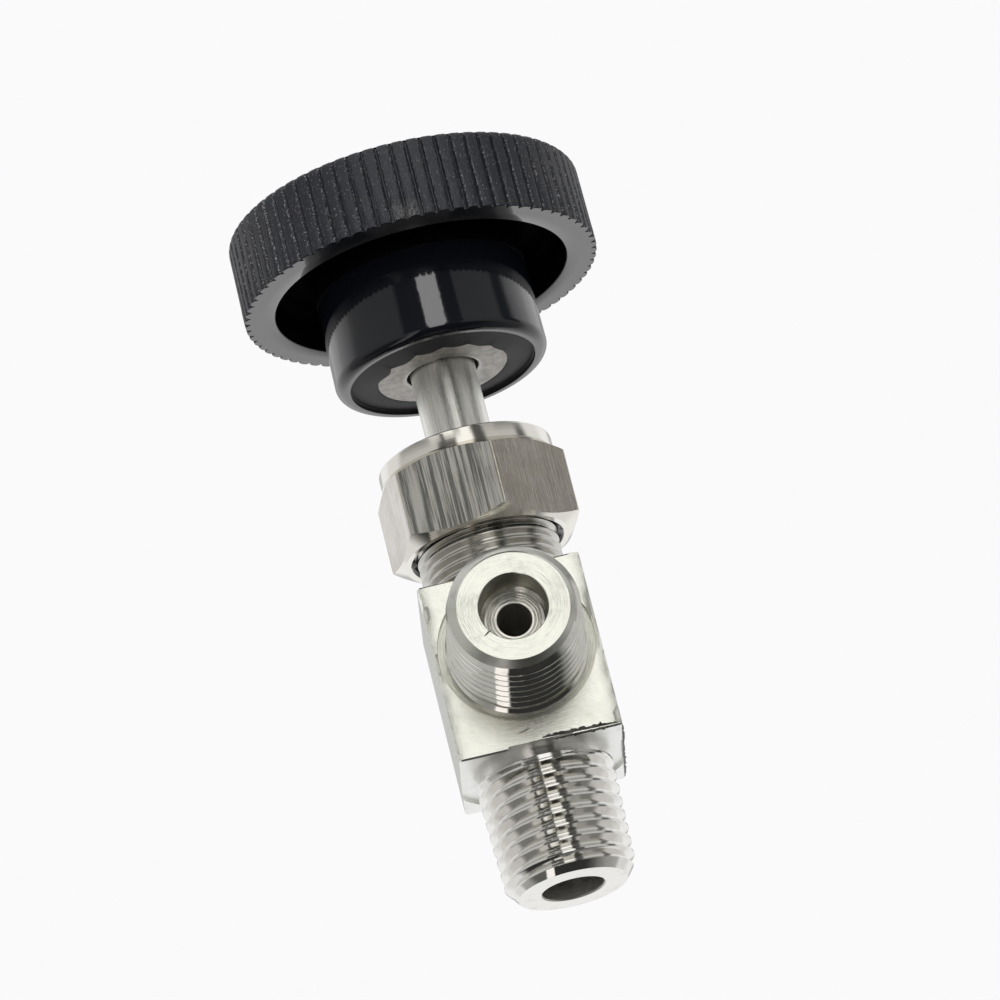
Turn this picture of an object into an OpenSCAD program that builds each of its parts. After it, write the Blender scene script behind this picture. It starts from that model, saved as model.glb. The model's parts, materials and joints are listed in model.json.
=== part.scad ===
// Angle needle valve with a screwed-in spindle, two male taper ports and a moulded handwheel.
// The origin is the centre of the inlet's end face. +Z runs up the spindle, the outlet points to -Y.
// The spindle is drawn two turns open: it screws two turns down to the seat and two turns up.

/* [Body] */
// Width across the flats of the square bar
block_w = 16; // [15.5:0.1:17]
// Height of the square bar
block_h = 18.1; // [17.5:0.1:19]
// Length of the inlet port below the bar
inlet_len = 12.3; // [12:0.1:14]
// Distance from the spindle axis to the outlet's end face
outlet_reach = 19; // [18.5:0.1:21]
// Height of the outlet axis above the bottom of the bar
outlet_rise = 10.1; // [9.8:0.1:10.4]
// Diameter of the inlet bore
inlet_bore_d = 6.1; // [5.5:0.1:6.4]
// Depth of the inlet bore
inlet_bore_l = 13.5; // [12.5:0.1:13.8]
// Diameter of the outlet's counterbore
socket_d = 6.6; // [6:0.1:7]
// Depth of the outlet's counterbore
socket_l = 3.8; // [3:0.1:4.5]
// Diameter of the side passage
passage_d = 3.3; // [2.8:0.1:3.4]
// Diameter of the seat orifice
orifice_d = 3; // [2.6:0.1:3.1]
// Diameter of the turned relief under the bar
bottom_relief_d = 17.2; // [16.8:0.1:18]
// Diameter of the turned relief round the outlet port
front_relief_d = 15.2; // [14.6:0.1:15.4]

/* [Port threads] */
// Major diameter of the taper thread at the port's end
port_thread_d = 12.782; // [12.6:0.002:12.9]
// Pitch of the taper thread
port_pitch = 1.337; // [1.3:0.001:1.4]
// Outer diameter of the flat end face
port_face_d = 10.8; // [10:0.1:11.4]
// Diameter at the foot of each port
port_base_d = 13.7; // [13.5:0.1:13.9]

/* [Neck and gland nut] */
// Major diameter of the neck thread
neck_d = 14; // [13.8:0.1:14.2]
// Pitch of the neck thread
neck_pitch = 1; // [0.8:0.1:1]
// Height of the neck above the bar
neck_l = 10.5; // [10.2:0.1:10.7]
// Width across the flats of the gland nut
nut_af = 17; // [16.6:0.1:17.4]
// Clear height between the bar and the gland nut
nut_gap = 5.1; // [4.8:0.1:5.4]
// Height of the nut's hexagon
nut_hex_h = 8.3; // [8:0.1:8.6]
// Diameter of the collar on the nut
collar_d = 17.25; // [16.6:0.05:17.3]
// Height of the collar
collar_h = 1.6; // [1.4:0.1:2]
// Angle of the nut's nearest corner from the outlet axis
nut_turn = 13; // [0:1:59]

/* [Spindle and needle] */
// Diameter of the polished stem
stem_d = 6.5; // [6.4:0.02:6.54]
// Major diameter of the operating thread
spindle_thread_d = 7.96; // [7.9:0.02:8]
// Lead of the operating thread, the lift of one turn
spindle_pitch = 1; // [0.8:0.1:1]
// Length of the operating thread
spindle_thread_l = 5.15; // [5:0.05:5.15]
// Diameter of the needle
needle_d = 4.4; // [4:0.1:4.6]
// Included angle of the needle's cone
needle_angle = 60; // [55:1:65]

/* [Handwheel] */
// Outer diameter over the ribs
wheel_d = 35.6; // [34:0.1:38]
// Number of ribs round the rim
rib_count = 75; // [60:1:90]
// Depth of the grooves between the ribs
rib_depth = 0.45; // [0.3:0.05:0.6]
// Inner diameter of the rim's lower face
rim_inner_d = 29.4; // [28:0.1:30]
// Height of the rim
rim_h = 8.3; // [8:0.1:9]
// Diameter of the hub
hub_d = 21.3; // [20:0.1:22]
// Length of the hub below the rim
hub_l = 9.4; // [8:0.1:10]
// Diameter of the metal insert
insert_d = 13; // [12.5:0.1:13.4]

/* [Hidden] */
$fn = 96;

// small allowances
over = 1;            // how far a cutting tool runs past the face it opens
ring_gap = 0.02;     // free space between stacked rings
seat_gap = 0.02;     // space left at the seat when the valve is shut

// heights on the spindle axis
block_z = inlet_len;
block_top = block_z + block_h;
outlet_z = block_z + outlet_rise;
seat_z = outlet_z - 3;
thread_bore_z = outlet_z + 3.4;
neck_top = block_top + neck_l;
packing_z = thread_bore_z + 9.4;
nut_z = block_top + nut_gap;
collar_z = nut_z + nut_hex_h;
collar_top = collar_z + collar_h;
nut_web_z = collar_top - 3;

// radii of the wetted bores
chamber_r = 2.7;
thread_bore_r = spindle_thread_d / 2 + 0.07;
packing_bore_r = 5.1;
drill_angle = 118;

// taper thread on the ports: 55 degree flanks, 1 in 16 on the diameter
port_taper = 1 / 32;
port_flat = 0.22;
port_flank = (port_pitch - 2 * port_flat) / 2;
port_depth = port_flank / tan(27.5);
inlet_chamfer_l = 1.3;
inlet_thread_z = 1.6;
inlet_crests = 8;
outlet_chamfer_l = 0.62;
outlet_thread_z = 1.55;
outlet_crests = 6;

// packing set
packing_in = stem_d / 2 + 0.04;
packing_out = packing_bore_r - 0.02;
packing_mid = (packing_in + packing_out) / 2;
v_height = 0.8;
v_thick = 0.8;
washer_h = 0.5;
base_h = 0.6;
top_h = 0.4;
base_z = packing_z + washer_h + ring_gap;
v_z = base_z + base_h + ring_gap;
top_z = v_z + 3 * (v_thick + ring_gap);
follower_z = top_z + v_height + top_h + ring_gap;

// spindle and needle, two turns open
lift = 2 * spindle_pitch;
spindle_z = thread_bore_z + 0.2 + lift;
shoulder_z = spindle_z + spindle_thread_l;
needle_r = needle_d / 2;
cone_slope = tan(needle_angle / 2);
cone_top_z = seat_z + lift + (needle_r - orifice_d / 2 + seat_gap) / cone_slope;
needle_tip_r = 0.35;
needle_tip_z = cone_top_z - (needle_r - needle_tip_r) / cone_slope;
stalk_r = 1.5;
stalk_bore_r = 1.55;
stalk_top = spindle_z + 3.4;
groove_r = 0.9;
groove_h = 1.1;
groove_z = spindle_z + 1.1;
pin_r = 0.5;
pin_x = groove_r + pin_r + 0.05;
pin_l = 5.2;
ball_r = 1.25;
ball_z = stalk_top + ball_r + ring_gap;
stalk_bore_l = ball_z + ball_r + ring_gap - spindle_z;

// handwheel
hub_z = collar_top + 9.25;
rim_z = hub_z + hub_l;
rim_top = rim_z + rim_h;
web_z = rim_z + 3.9;
web_top = rim_top - 1;
wheel_r = wheel_d / 2;
hub_r = hub_d / 2;
hub_taper = 0.15;     // how much smaller the hub's radius is up in the slot
hub_round = 1;
hub_lip = 0.35;       // flat edge round the hollow in the hub's end face
hollow_rim_h = 0.45;
hollow_mid_h = 0.2;
rim_round = 0.6;
slot_round = 1.2;
seat_of_wheel = hub_z + 5.4;
insert_top = hub_z + 10.6;
insert_bore_r = 3.58;
square_w = 5;
square_play = 0.06;
screw_r = 2.46;
wheel_washer_h = 1;
lock_washer_h = 1.2;
wheel_nut_h = 4;
wheel_nut_af = 8;
wheel_washer_in = 2.65;
wheel_washer_out = 5;
lock_washer_in = 2.6;
lock_washer_out = 4.5;
recess_r = 6;
spindle_top = insert_top + wheel_washer_h + lock_washer_h + wheel_nut_h + 0.6;

// Points (radius, height) of a ring of thread crests and roots, from a crest at height z0
function crest_points(r0, z0, n, pitch, taper, flat, depth) = let (flank = (pitch - 2 * flat) / 2) [
    for (k = [0:n - 1], q = [0:3])
        let (
            dz = k * pitch + (q > 0 ? flat : 0) + (q > 1 ? flank : 0) + (q > 2 ? flat : 0),
            r = r0 + taper * dz
        )
        [q < 2 ? r : r - depth, z0 + dz]
];

// Points on a quarter ellipse about (r, z), from angle a0 to a1
function arc_points(r, z, rr, rz, a0, a1, steps = 8) = [
    for (i = [0:steps]) let (a = a0 + (a1 - a0) * i / steps) [r + rr * cos(a), z + rz * sin(a)]
];

module turned(points) {
    rotate_extrude() polygon(points);
}

module drill(r, z0, z1) {
    translate([0, 0, z0]) cylinder(r = r, h = z1 - z0);
}

// A male port standing on its end face at z = 0 and running up to z = len. A long lead before the
// first crest, at thread_z, has room for one more groove behind the chamfer. The foot is the plain
// stretch behind the thread.
module port(len, chamfer_l, chamfer_r, thread_z, crests) {
    r0 = port_thread_d / 2 + port_taper * thread_z;
    root_r = r0 - port_depth;
    root_z = thread_z - port_flank;
    groove = root_z - port_flat > chamfer_l ? [[root_r, root_z - port_flat], [root_r, root_z]] : [];
    base_r = port_base_d / 2;
    thread_end = thread_z + crests * port_pitch;
    foot_z = thread_end + 0.7;
    foot = foot_z < len ? [[root_r, thread_end + 0.2], [base_r, foot_z], [base_r, len]] : [[root_r, len]];
    turned(concat(
        [[0, 0], [port_face_d / 2, 0], [chamfer_r, chamfer_l]],
        groove,
        crest_points(r0, thread_z, crests, port_pitch, port_taper, port_flat, port_depth),
        foot,
        [[0, len]]
    ));
}

module neck() {
    r = neck_d / 2;
    flat = neck_pitch / 8;
    depth = 0.54 * neck_pitch;
    first = block_top + 0.9;
    crests = floor((neck_top - first - 0.8) / neck_pitch);
    turned(concat(
        [[0, block_top - over], [r - depth, block_top - over], [r - depth, first - 0.3]],
        crest_points(r, first, crests, neck_pitch, 0, flat, depth),
        [[r - depth, neck_top - 0.4], [r - 0.9, neck_top], [0, neck_top]]
    ));
}

module outlet_frame() {
    translate([0, -outlet_reach, outlet_z]) rotate([-90, 0, 0]) children();
}

module body_outside() {
    half = block_w / 2;
    relief = 0.5;
    difference() {
        translate([-half, -half, block_z]) cube([block_w, block_w, block_h]);
        drill(bottom_relief_d / 2, block_z - over, block_z + 0.35);
        outlet_frame() drill(front_relief_d / 2, 0, outlet_reach - half + relief);
    }
    port(inlet_len + over, inlet_chamfer_l, port_thread_d / 2 - 0.05, inlet_thread_z, inlet_crests);
    outlet_frame()
        port(outlet_reach - half + over, outlet_chamfer_l, port_face_d / 2 + outlet_chamfer_l,
             outlet_thread_z, outlet_crests);
    neck();
}

module body_bores() {
    r_in = inlet_bore_d / 2;
    r_seat = orifice_d / 2;
    cone_h = (r_in - r_seat) / tan(drill_angle / 2);
    turned([
        [0, -over], [r_in, -over], [r_in, inlet_bore_l], [r_seat, inlet_bore_l + cone_h], [r_seat, seat_z],
        [chamber_r, seat_z + (chamber_r - r_seat) / cone_slope], [chamber_r, thread_bore_z - 0.8],
        [thread_bore_r, thread_bore_z], [thread_bore_r, packing_z], [packing_bore_r, packing_z],
        [packing_bore_r, neck_top + over], [0, neck_top + over]
    ]);
    outlet_frame() drill(socket_d / 2, -over, socket_l);
    outlet_frame() drill(passage_d / 2, 0, outlet_reach);
}

module body() {
    color([0.78, 0.78, 0.76]) difference() {
        body_outside();
        body_bores();
    }
}

module gland_nut() {
    corner_r = nut_af / 2 / cos(30);
    // the hexagon's 30 degree chamfers leave a washer face at each end
    face_r = nut_af / 2 - 0.3;
    chamfer_h = (corner_r + 0.2 - face_r) * tan(30);
    stem_hole_r = stem_d / 2 + 0.1;
    color([0.74, 0.73, 0.70]) difference() {
        union() {
            intersection() {
                translate([0, 0, nut_z]) rotate(nut_turn - 90) cylinder(r = corner_r, h = nut_hex_h, $fn = 6);
                turned([
                    [0, nut_z], [face_r, nut_z], [corner_r + 0.2, nut_z + chamfer_h],
                    [corner_r + 0.2, collar_z - chamfer_h], [face_r, collar_z], [0, collar_z]
                ]);
            }
            drill(collar_d / 2, collar_z - 0.4, collar_top);
        }
        turned([
            [0, nut_z - over], [neck_d / 2 + 0.55 + over, nut_z - over], [neck_d / 2 + 0.05, nut_z + 0.5],
            [neck_d / 2 + 0.05, nut_web_z], [0, nut_web_z]
        ]);
        drill(stem_hole_r, nut_web_z - over, collar_top + over);
        turned([
            [0, collar_top - 0.3], [stem_hole_r, collar_top - 0.3],
            [stem_hole_r + 0.3 + over, collar_top + over], [0, collar_top + over]
        ]);
    }
}

module gland_follower() {
    flange_z = neck_top + 0.3;
    flange_r = 6.2;
    bore_r = stem_d / 2 + 0.08;
    color([0.72, 0.72, 0.70]) turned([
        [bore_r, follower_z], [packing_bore_r - 0.05, follower_z], [packing_bore_r - 0.05, flange_z],
        [flange_r, flange_z], [flange_r, nut_web_z - ring_gap], [bore_r, nut_web_z - ring_gap]
    ]);
}

module packing_washer() {
    top = packing_z + washer_h;
    inner_r = stem_d / 2 + 0.1;
    color([0.7, 0.7, 0.7]) turned([
        [inner_r, packing_z], [packing_out, packing_z], [packing_out, top], [inner_r, top]
    ]);
}

module packing_base_ring() {
    shelf = base_z + base_h;
    color([0.95, 0.94, 0.9]) turned([
        [packing_in, base_z], [packing_out, base_z], [packing_out, shelf],
        [packing_mid, shelf + v_height], [packing_in, shelf]
    ]);
}

module v_ring(i) {
    z = v_z + i * (v_thick + ring_gap);
    color([0.97, 0.96, 0.93]) turned([
        [packing_in, z], [packing_mid, z + v_height], [packing_out, z], [packing_out, z + v_thick],
        [packing_mid, z + v_thick + v_height], [packing_in, z + v_thick]
    ]);
}

module packing_v_ring_lower() { v_ring(0); }
module packing_v_ring_middle() { v_ring(1); }
module packing_v_ring_upper() { v_ring(2); }

module packing_top_ring() {
    top = top_z + v_height + top_h;
    color([0.95, 0.94, 0.9]) turned([
        [packing_in, top_z], [packing_mid, top_z + v_height], [packing_out, top_z],
        [packing_out, top], [packing_in, top]
    ]);
}

module swivel_pin_pair(r, l) {
    for (side = [-1, 1])
        translate([side * pin_x, 0, groove_z + groove_h / 2]) rotate([90, 0, 0])
            cylinder(r = r, h = l, center = true);
}

module spindle() {
    r = spindle_thread_d / 2;
    flat = spindle_pitch / 8;
    depth = 0.54 * spindle_pitch;
    crests = 4;
    first = spindle_z + 0.6;
    stem_r = stem_d / 2;
    screw_z = insert_top - 0.2;
    screw_pitch = 0.8;
    screw_depth = 0.43;
    screw_crests = floor((spindle_top - screw_z - 0.8) / screw_pitch);
    color([0.8, 0.8, 0.78]) difference() {
        union() {
            turned(concat(
                [[0, spindle_z], [r - depth, spindle_z]],
                crest_points(r, first, crests, spindle_pitch, 0, flat, depth),
                [[r, shoulder_z - 0.4], [r - 0.2, shoulder_z], [stem_r, shoulder_z],
                 [stem_r, seat_of_wheel], [0, seat_of_wheel]]
            ));
            intersection() {
                drill(stem_r - 0.05, seat_of_wheel - 0.2, screw_z);
                translate([-square_w / 2, -square_w / 2, seat_of_wheel - over])
                    cube([square_w, square_w, screw_z + 2 * over - seat_of_wheel]);
            }
            turned(concat(
                [[0, screw_z - 0.2], [screw_r - screw_depth, screw_z - 0.2]],
                crest_points(screw_r, screw_z + 0.3, screw_crests, screw_pitch, 0, 0.1, screw_depth),
                [[screw_r - screw_depth, spindle_top - 0.1], [screw_r - screw_depth - 0.1, spindle_top],
                 [0, spindle_top]]
            ));
        }
        drill(stalk_bore_r, spindle_z - over, spindle_z + stalk_bore_l);
        swivel_pin_pair(pin_r + 0.02, 2 * spindle_thread_d);
    }
}

module needle() {
    collar_of_needle = spindle_z - 0.1;
    color([0.76, 0.76, 0.74]) turned([
        [0, needle_tip_z], [needle_tip_r, needle_tip_z], [needle_r, cone_top_z],
        [needle_r, collar_of_needle - 0.2], [needle_r - 0.2, collar_of_needle], [stalk_r, collar_of_needle],
        [stalk_r, groove_z], [groove_r, groove_z], [groove_r, groove_z + groove_h],
        [stalk_r, groove_z + groove_h], [stalk_r, stalk_top], [0, stalk_top]
    ]);
}

module thrust_ball() {
    color([0.85, 0.85, 0.87]) translate([0, 0, ball_z]) sphere(r = ball_r);
}

module swivel_pins() {
    color([0.7, 0.7, 0.72]) swivel_pin_pair(pin_r, pin_l);
}

// Outline of the rim seen from above, with flat-topped ribs
function rib_outline() = [
    for (i = [0:rib_count - 1], q = [0:3])
        let (
            step = 360 / rib_count,
            a = (i + [0, 0.58, 0.74, 0.84][q]) * step,
            r = q < 2 ? wheel_r : wheel_r - rib_depth
        )
        [r * cos(a), r * sin(a)]
];

module wheel_profile() {
    slot_in = hub_r - hub_taper;
    round_in = hub_r - hub_round;
    hollow_r = round_in - hub_lip;
    slot_out = rim_inner_d / 2;
    crown_r = wheel_r - rim_round;
    polygon(concat(
        [[0, hub_z + hollow_mid_h], [insert_d / 2, hub_z + hollow_mid_h], [hollow_r, hub_z + hollow_rim_h],
         [hollow_r, hub_z]],
        arc_points(round_in, hub_z + hub_round, hub_round, hub_round, -90, 0, 8),
        [[slot_in, web_z - slot_round]],
        arc_points(slot_in + slot_round, web_z - slot_round, slot_round, slot_round, 165, 90, 5),
        arc_points(slot_out - slot_round, web_z - slot_round, slot_round, slot_round, 90, 0, 6),
        [[slot_out, rim_z], [wheel_r, rim_z]],
        arc_points(crown_r, rim_top - rim_round, rim_round, rim_round, 0, 90, 8),
        [[crown_r - 1.4, rim_top], [crown_r - 3.4, web_top], [0, web_top]]
    ));
}

module handwheel() {
    color([0.07, 0.07, 0.08]) difference() {
        intersection() {
            rotate_extrude() wheel_profile();
            translate([0, 0, hub_z - over]) linear_extrude(rim_top - hub_z + 2 * over) polygon(rib_outline());
        }
        turned(insert_points(hub_z - over, ring_gap));
        drill(recess_r, insert_top - over, rim_top + over);
    }
}

// Outline of the insert: two key grooves hold it in the moulding
function insert_points(bottom, play) = let (r = insert_d / 2 + play, key_r = insert_d / 2 - 0.8 + play) [
    [0, bottom], [r, bottom], [r, hub_z + 2.6], [key_r, hub_z + 3.2], [key_r, hub_z + 4.6],
    [r, hub_z + 5.2], [r, hub_z + 6.6], [key_r, hub_z + 7.2], [key_r, hub_z + 8.6],
    [r, hub_z + 9.2], [r, insert_top + play], [0, insert_top + play]
];

module wheel_insert() {
    hole_w = square_w + square_play;
    color([0.66, 0.65, 0.62]) difference() {
        turned(insert_points(hub_z, 0));
        turned([
            [0, hub_z - over], [insert_bore_r + 0.5 + over, hub_z - over], [insert_bore_r, hub_z + 0.5],
            [insert_bore_r, seat_of_wheel + ring_gap], [0, seat_of_wheel + ring_gap]
        ]);
        intersection() {
            drill(stem_d / 2, seat_of_wheel - over, insert_top + over);
            translate([-hole_w / 2, -hole_w / 2, seat_of_wheel - over])
                cube([hole_w, hole_w, insert_top - seat_of_wheel + 3 * over]);
        }
    }
}

module wheel_washer() {
    z = insert_top + ring_gap;
    top = insert_top + wheel_washer_h;
    color([0.75, 0.75, 0.74]) turned([
        [wheel_washer_in, z], [wheel_washer_out, z], [wheel_washer_out, top], [wheel_washer_in, top]
    ]);
}

// A split ring with square ends
module lock_washer() {
    z = insert_top + wheel_washer_h + ring_gap;
    top = z + lock_washer_h - ring_gap;
    split = 0.5;
    color([0.6, 0.6, 0.6]) difference() {
        turned([[lock_washer_in, z], [lock_washer_out, z], [lock_washer_out, top], [lock_washer_in, top]]);
        rotate(20) translate([(lock_washer_in + lock_washer_out) / 2, 0, (z + top) / 2]) rotate([30, 0, 0])
            cube([4, split, 4], center = true);
    }
}

module wheel_nut() {
    z = insert_top + wheel_washer_h + lock_washer_h + ring_gap;
    corner_r = wheel_nut_af / 2 / cos(30);
    face_r = wheel_nut_af / 2 - 0.1;
    chamfer_h = (corner_r + 0.1 - face_r) * tan(30);
    color([0.78, 0.78, 0.77]) difference() {
        intersection() {
            translate([0, 0, z]) cylinder(r = corner_r, h = wheel_nut_h, $fn = 6);
            turned([
                [0, z], [face_r, z], [corner_r + 0.1, z + chamfer_h],
                [corner_r + 0.1, z + wheel_nut_h - chamfer_h], [face_r, z + wheel_nut_h], [0, z + wheel_nut_h]
            ]);
        }
        drill(screw_r + 0.04, z - over, z + wheel_nut_h + over);
    }
}

body();
gland_nut();
gland_follower();
packing_washer();
packing_base_ring();
packing_v_ring_lower();
packing_v_ring_middle();
packing_v_ring_upper();
packing_top_ring();
spindle();
needle();
thrust_ball();
swivel_pins();
handwheel();
wheel_insert();
wheel_washer();
lock_washer();
wheel_nut();
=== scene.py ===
"""Angle needle valve: the looks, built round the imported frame.

Lengths are in millimetres until a mesh is made."""
import json
import math

import bmesh
import bpy
import numpy as np
from mathutils import Matrix, Vector, noise


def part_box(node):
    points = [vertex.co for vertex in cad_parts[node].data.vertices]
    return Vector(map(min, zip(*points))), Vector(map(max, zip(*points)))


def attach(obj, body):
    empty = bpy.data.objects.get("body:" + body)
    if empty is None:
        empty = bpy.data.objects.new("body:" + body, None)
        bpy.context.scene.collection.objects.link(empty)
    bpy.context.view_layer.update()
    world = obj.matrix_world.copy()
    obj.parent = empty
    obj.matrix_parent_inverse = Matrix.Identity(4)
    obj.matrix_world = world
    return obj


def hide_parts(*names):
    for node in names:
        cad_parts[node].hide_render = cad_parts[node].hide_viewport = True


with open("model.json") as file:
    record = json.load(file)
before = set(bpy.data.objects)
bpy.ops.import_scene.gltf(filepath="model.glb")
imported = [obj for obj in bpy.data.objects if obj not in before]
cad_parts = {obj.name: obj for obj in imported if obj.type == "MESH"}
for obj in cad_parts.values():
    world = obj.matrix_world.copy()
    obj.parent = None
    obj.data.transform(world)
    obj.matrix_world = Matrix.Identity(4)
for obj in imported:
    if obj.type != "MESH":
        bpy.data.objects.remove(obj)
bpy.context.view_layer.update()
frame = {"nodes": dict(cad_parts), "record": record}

MM = 0.001
TAU = 2 * math.pi

# ---------------------------------------------------------------- sizes, from the frame


def extent(node, axis, end):
    """One face of a CAD node's box in millimetres; end is 0 for the low side and 1 for the high side."""
    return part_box(node)[end]["xyz".index(axis)] / MM


MOUNTS = {m["name"]: m for m in frame["record"]["mounts"]}
BLOCK_HALF = extent("body", "y", 1)
OUTLET_TIP = extent("body", "y", 0)
OUTLET_Z = MOUNTS["outlet_socket"]["pos_m"][2] / MM
INLET_BORE_R = MOUNTS["inlet_bore"]["dims"]["r_mm"]
INLET_BORE_L = MOUNTS["inlet_bore"]["dims"]["length_mm"]
SOCKET_R = MOUNTS["outlet_socket"]["dims"]["r_mm"]
SOCKET_L = MOUNTS["outlet_socket"]["dims"]["length_mm"]
OUTLET_RISE = 10.1
BLOCK_H = 18.1
BLOCK_Z = OUTLET_Z - OUTLET_RISE
BLOCK_TOP = BLOCK_Z + BLOCK_H
NECK_TOP = extent("body", "z", 1)
NUT_Z = extent("gland_nut", "z", 0)
COLLAR_TOP = extent("gland_nut", "z", 1)
COLLAR_Z = COLLAR_TOP - 1.6
COLLAR_R = 8.625
NUT_AF = 17.0
NUT_TURN = math.radians(13 - 90)
STEM_R = 3.25
SPINDLE_Z = extent("spindle", "z", 0)
SPINDLE_TOP = extent("spindle", "z", 1)
NEEDLE_R = extent("needle", "x", 1)
NEEDLE_TIP = extent("needle", "z", 0)
NEEDLE_TOP = extent("needle", "z", 1)
HUB_Z = extent("handwheel", "z", 0)
WHEEL_TOP = extent("handwheel", "z", 1)
WHEEL_R = extent("handwheel", "x", 1)
RIM_Z = WHEEL_TOP - 8.3
INSERT_TOP = extent("wheel_insert", "z", 1)
INSERT_R = extent("wheel_insert", "x", 1)

# ---------------------------------------------------------------- small shape helpers


def smooth(x, low, high):
    """0 below low, 1 above high, with an even slope at both ends."""
    t = np.clip((np.asarray(x, float) - low) / (high - low), 0, 1)
    return t * t * (3 - 2 * t)


def wobble(theta, seed, first, last, size):
    """An irregular closed wave round a circle, made of seeded harmonics."""
    rng = np.random.default_rng(seed)
    total = np.zeros_like(theta)
    for k in range(first, last + 1):
        total += rng.normal() / math.sqrt(k - first + 1) * np.cos(k * theta + rng.uniform(0, TAU))
    return size * total / max(1e-9, np.abs(total).max())


def arc(r, z, rr, rz, start, stop, steps):
    """Points (radius, height) on a quarter ellipse, angles in degrees."""
    angles = np.radians(np.linspace(start, stop, steps + 1))
    return [(r + rr * math.cos(a), z + rz * math.sin(a)) for a in angles]


def tidy(mesh, sharp=28):
    """Merges doubled points, points the faces outwards and keeps edges over the sharp angle crisp."""
    bm = bmesh.new()
    bm.from_mesh(mesh)
    bmesh.ops.remove_doubles(bm, verts=bm.verts, dist=2e-7)
    bmesh.ops.dissolve_degenerate(bm, edges=bm.edges, dist=1e-8)
    bmesh.ops.recalc_face_normals(bm, faces=bm.faces)
    for face in bm.faces:
        face.smooth = True
    bm.to_mesh(mesh)
    bm.free()
    mesh.set_sharp_from_angle(angle=math.radians(sharp))


def make_object(name, points, faces, sharp=28):
    """A mesh object from points in millimetres."""
    mesh = bpy.data.meshes.new(name)
    mesh.from_pydata([tuple(p) for p in np.asarray(points, float) * MM], [], [tuple(f) for f in faces])
    tidy(mesh, sharp)
    made = bpy.data.objects.new(name, mesh)
    bpy.context.scene.collection.objects.link(made)
    return made


def lofted(name, points, sides, sharp=28):
    """A closed solid through rings of points, one ring after another, with flat ends."""
    count = len(points) // sides
    faces = []
    for low in range(0, sides * (count - 1), sides):
        for k in range(sides):
            m = (k + 1) % sides
            faces.append((low + k, low + m, low + sides + m, low + sides + k))
    faces += [tuple(reversed(range(sides))), tuple(range(sides * (count - 1), sides * count))]
    return make_object(name, points, faces, sharp)


class Turned:
    """A closed surface built ring by ring about the Z axis. Its threads are true right-hand helices."""

    def __init__(self, count):
        self.count = count
        self.theta = np.arange(count) * TAU / count
        self.points = []
        self.faces = []
        self.rows = 0
        self.last = None

    def _row(self, r, z):
        r = np.broadcast_to(r, self.theta.shape)
        z = np.broadcast_to(z, self.theta.shape)
        self.points.append(np.stack([r * np.cos(self.theta), r * np.sin(self.theta), z], 1))
        self.rows += 1
        return self.rows - 1

    def _join(self, low, high, low_wrap=None, high_wrap=None):
        """Quads between two rows; the wrap rows are the ones met after a full turn."""
        i = np.arange(self.count)
        j = (i + 1) % self.count
        last = i == self.count - 1
        low_next = np.where(last, low if low_wrap is None else low_wrap, low)
        high_next = np.where(last, high if high_wrap is None else high_wrap, high)
        n = self.count
        self.faces.append(np.stack([low * n + i, low_next * n + j, high_next * n + j, high * n + i], 1))

    def ring(self, r, z):
        row = self._row(r, z)
        if self.last is not None:
            self._join(self.last, row)
        self.last = row
        return self

    def profile(self, points):
        for r, z in points:
            self.ring(r, z)
        return self

    def helix(self, z0, z1, pitch, phases, radius, start=0.0):
        """A threaded stretch from z0 to z1. radius(theta, z, phase) gives its surface.

        The crest passes height 0 on the X axis when start is 0; start turns it, in parts of a turn."""
        n = len(phases)
        shift = (start + z0 / pitch) % 1.0
        first_row = self.rows
        highest = (int(math.ceil((z1 - z0) / pitch)) + 1) * n
        for i in range(-n, highest + 1):
            turn = math.floor(i / n) + phases[i % n]
            z = np.clip(z0 + (turn - shift + self.theta / TAU) * pitch, z0, z1)
            phase = np.mod((z - z0) / pitch - self.theta / TAU + shift + 1e-9, 1.0)
            row = self._row(radius(self.theta, z, phase), z)
            if i == -n and self.last is not None:
                self._join(self.last, row)
        for row in range(first_row, self.rows - 1):
            wrap = [min(k + n, self.rows - 1) for k in (row, row + 1)]
            self._join(row, row + 1, *wrap)
        self.last = self.rows - 1
        return self

    def build(self, name, loop=False, sharp=28, move=None):
        """Makes the object. loop joins the last ring to the first, as on a washer."""
        if loop:
            self._join(self.last, 0)
        points = np.concatenate(self.points)
        if move is not None:
            points = move(points)
        return make_object(name, points, np.concatenate(self.faces), sharp)


THREAD_SOFT = 0.018


def thread_depth(phase, crest, root):
    """0 on the crest, 1 in the root, with straight flanks and slightly rounded corners."""
    away = np.abs(np.mod(phase + 0.5, 1.0) - 0.5)

    def past(corner):
        x = away - corner
        rounded = (x + THREAD_SOFT) ** 2 / (4 * THREAD_SOFT)
        return np.where(x < -THREAD_SOFT, 0, np.where(x > THREAD_SOFT, x, rounded))

    low, high = crest / 2, 0.5 - root / 2
    return (past(low) - past(high)) / (high - low)


def thread_phases(crest, root):
    """Where the rows of a thread lie within one pitch: close together at its corners."""
    half = [0.0]
    for corner in (crest / 2, 0.5 - root / 2):
        half += [corner + k * THREAD_SOFT for k in (-2, -1, -0.33, 0.33, 1, 2.2)]
    half += [0.25, 0.5]
    half.sort()
    return half + [1 - t for t in reversed(half[1:-1])]


METRIC_CREST, METRIC_ROOT = 0.15, 0.2
METRIC_PHASES = thread_phases(METRIC_CREST, METRIC_ROOT)


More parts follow.
